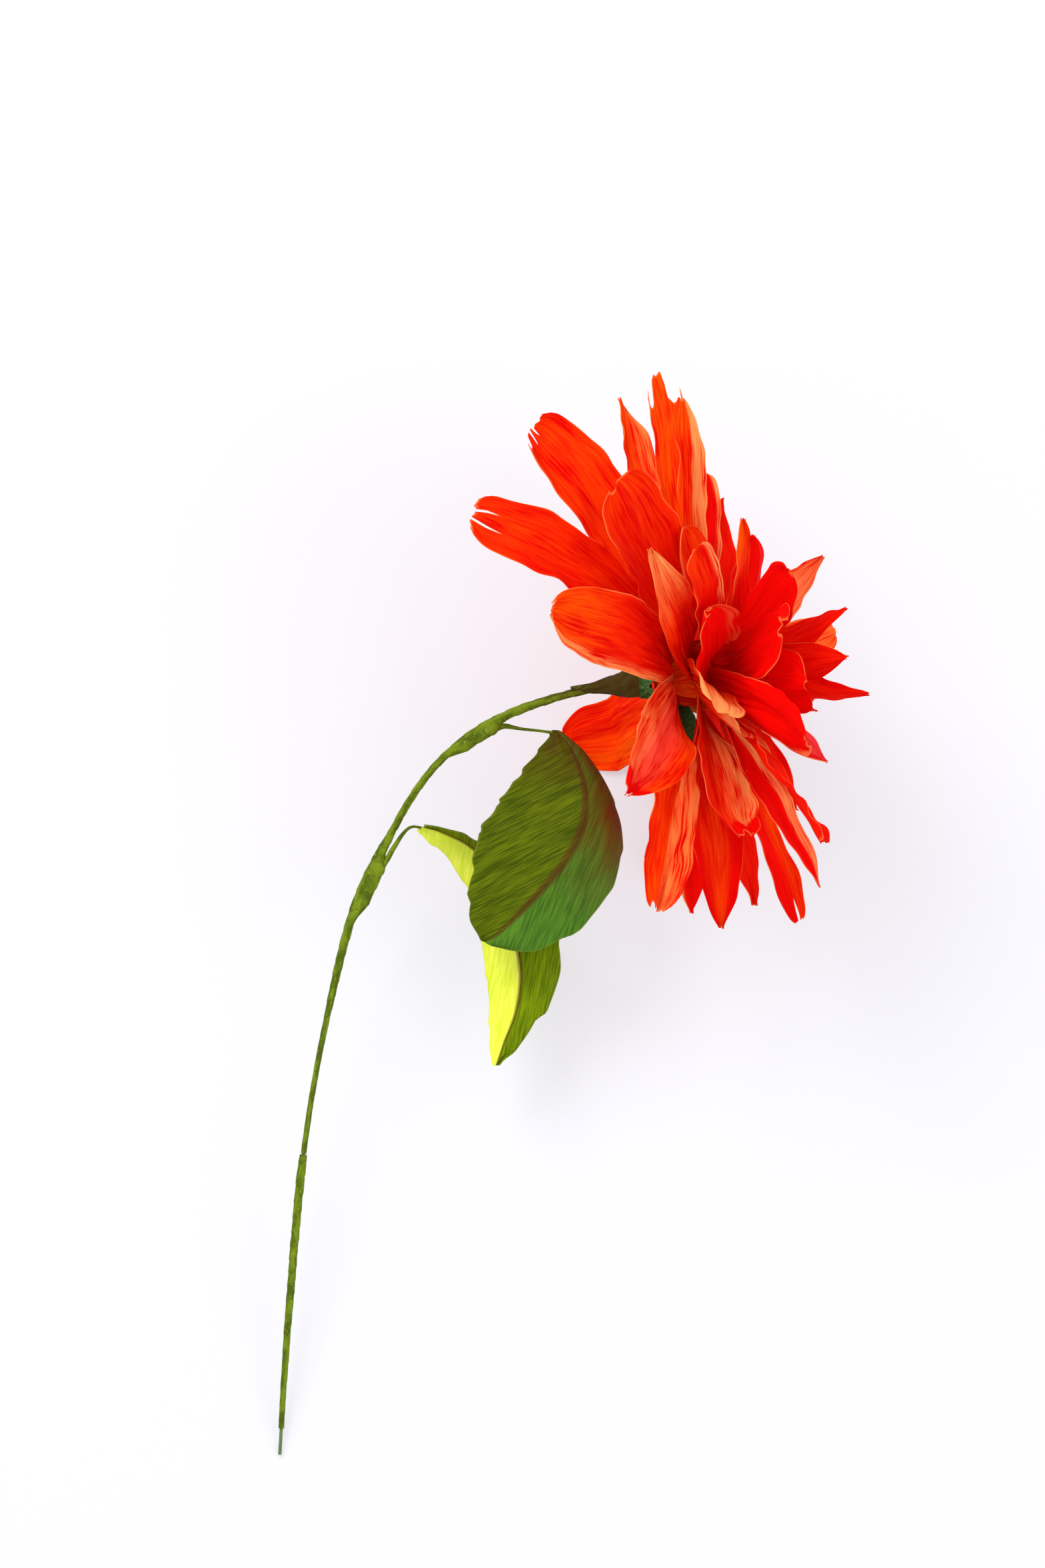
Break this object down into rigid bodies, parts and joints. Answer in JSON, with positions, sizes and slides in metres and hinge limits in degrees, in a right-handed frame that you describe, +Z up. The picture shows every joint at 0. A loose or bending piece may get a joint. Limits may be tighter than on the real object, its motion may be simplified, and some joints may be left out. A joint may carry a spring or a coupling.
{
  "type": "paper flower",
  "caption": "Large crepe paper flower with layered petals on a curved, paper-wrapped wire stem with two wired paper leaves, lying on its side.",
  "frame": {"origin": "bottom centre of the bounding box, on the floor the flower lies on", "axes": "+Z up from the floor, +Y from the stem's cut end towards the bloom, +X the way the bloom faces"},
  "size_m": [0.1848, 0.3418, 0.1418],
  "materials": {
    "petal_paper": "matte crepe paper",
    "heart_paper": "matte crepe paper",
    "stem_paper": "matte crepe paper",
    "cone_paper": "matte crepe paper",
    "dark_leaf_paper": "matte crepe paper",
    "blue_leaf_paper": "matte crepe paper",
    "light_leaf_paper": "matte crepe paper",
    "mid_leaf_paper": "matte crepe paper",
    "wire_paint": "green paper-covered wire"
  },
  "bodies": {
    "root": {"calyx_collar": "stem_paper", "calyx_cone": "cone_paper", "flower_core": "heart_paper", "heart_petal_01": "heart_paper", "heart_petal_02": "heart_paper", "heart_petal_03": "heart_paper", "heart_petal_04": "heart_paper", "heart_petal_05": "heart_paper", "inner_petal_01": "heart_paper", "inner_petal_02": "heart_paper", "inner_petal_03": "heart_paper", "inner_petal_04": "heart_paper", "inner_petal_05": "heart_paper", "inner_petal_06": "heart_paper", "inner_petal_07": "heart_paper", "inner_petal_08": "heart_paper", "inner_petal_09": "heart_paper", "lower_leaf_left_half": "light_leaf_paper", "lower_leaf_right_half": "mid_leaf_paper", "lower_leaf_wire": "wire_paint", "lower_stem_wrap": "stem_paper", "outer_petal_01": "petal_paper", "outer_petal_02": "petal_paper", "outer_petal_03": "petal_paper", "outer_petal_04": "petal_paper", "outer_petal_05": "petal_paper", "outer_petal_06": "petal_paper", "outer_petal_07": "petal_paper", "outer_petal_08": "petal_paper", "outer_petal_09": "petal_paper", "outer_petal_10": "petal_paper", "outer_petal_11": "petal_paper", "second_petal_01": "petal_paper", "second_petal_02": "petal_paper", "second_petal_03": "petal_paper", "second_petal_04": "petal_paper", "second_petal_05": "petal_paper", "second_petal_06": "petal_paper", "second_petal_07": "petal_paper", "second_petal_08": "petal_paper", "second_petal_09": "petal_paper", "second_petal_10": "petal_paper", "second_petal_11": "petal_paper", "second_petal_12": "petal_paper", "stem_wire": "wire_paint", "stem_wrap": "stem_paper", "third_petal_01": "petal_paper", "third_petal_02": "petal_paper", "third_petal_03": "petal_paper", "third_petal_04": "petal_paper", "third_petal_05": "petal_paper", "third_petal_06": "petal_paper", "third_petal_07": "petal_paper", "third_petal_08": "petal_paper", "third_petal_09": "petal_paper", "third_petal_10": "petal_paper", "third_petal_11": "petal_paper", "upper_leaf_left_half": "dark_leaf_paper", "upper_leaf_right_half": "blue_leaf_paper", "upper_leaf_wire": "wire_paint"}
  },
  "joints": []
}
